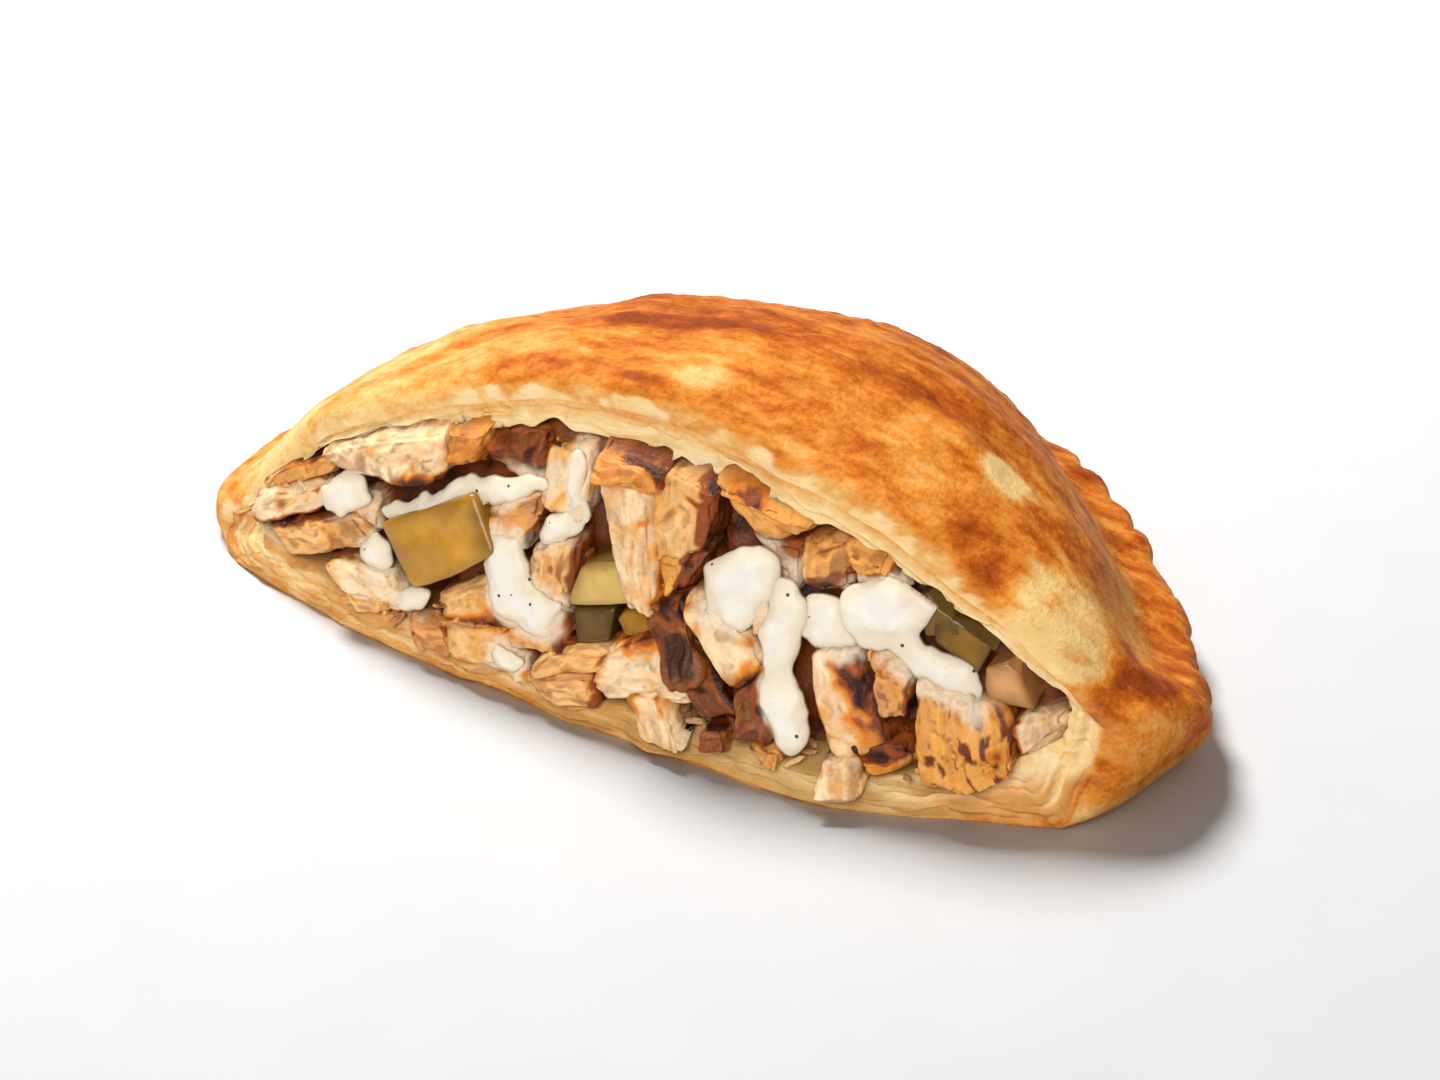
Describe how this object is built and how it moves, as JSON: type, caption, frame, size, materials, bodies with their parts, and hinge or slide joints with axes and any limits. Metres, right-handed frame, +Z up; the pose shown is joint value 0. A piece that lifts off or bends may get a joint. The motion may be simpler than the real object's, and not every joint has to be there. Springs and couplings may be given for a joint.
{
  "type": "chicken shawarma pie",
  "caption": "Half-moon bread pie with a crimped rope edge, cut open along its front to show chicken pieces, pickled cucumber and white garlic sauce.",
  "frame": {"origin": "under the middle of the pie's box, on the surface that it rests on", "axes": "+X along the cut to the right as the opening is looked into, -Y out of the opening, +Z up"},
  "size_m": [0.1988, 0.122, 0.0623],
  "materials": {
    "crust": "golden-brown baked bread crust with darker blistered patches and a cream crumb at the cut",
    "chicken": "moist grilled chicken, pale inside with browned and charred edges",
    "pickle": "wet yellow-olive pickled cucumber with darker skin",
    "sauce": "smooth white garlic sauce"
  },
  "bodies": {
    "root": {"crust": "crust", "chicken_filling": "chicken", "pickle_1": "pickle", "pickle_2": "pickle", "pickle_3": "pickle", "pickle_4": "pickle", "pickle_5": "pickle", "pickle_6": "pickle", "sauce_1": "sauce", "sauce_2": "sauce", "sauce_3": "sauce", "sauce_4": "sauce", "sauce_5": "sauce", "sauce_6": "sauce", "sauce_7": "sauce", "sauce_8": "sauce", "sauce_9": "sauce", "sauce_10": "sauce", "sauce_11": "sauce"}
  },
  "joints": []
}
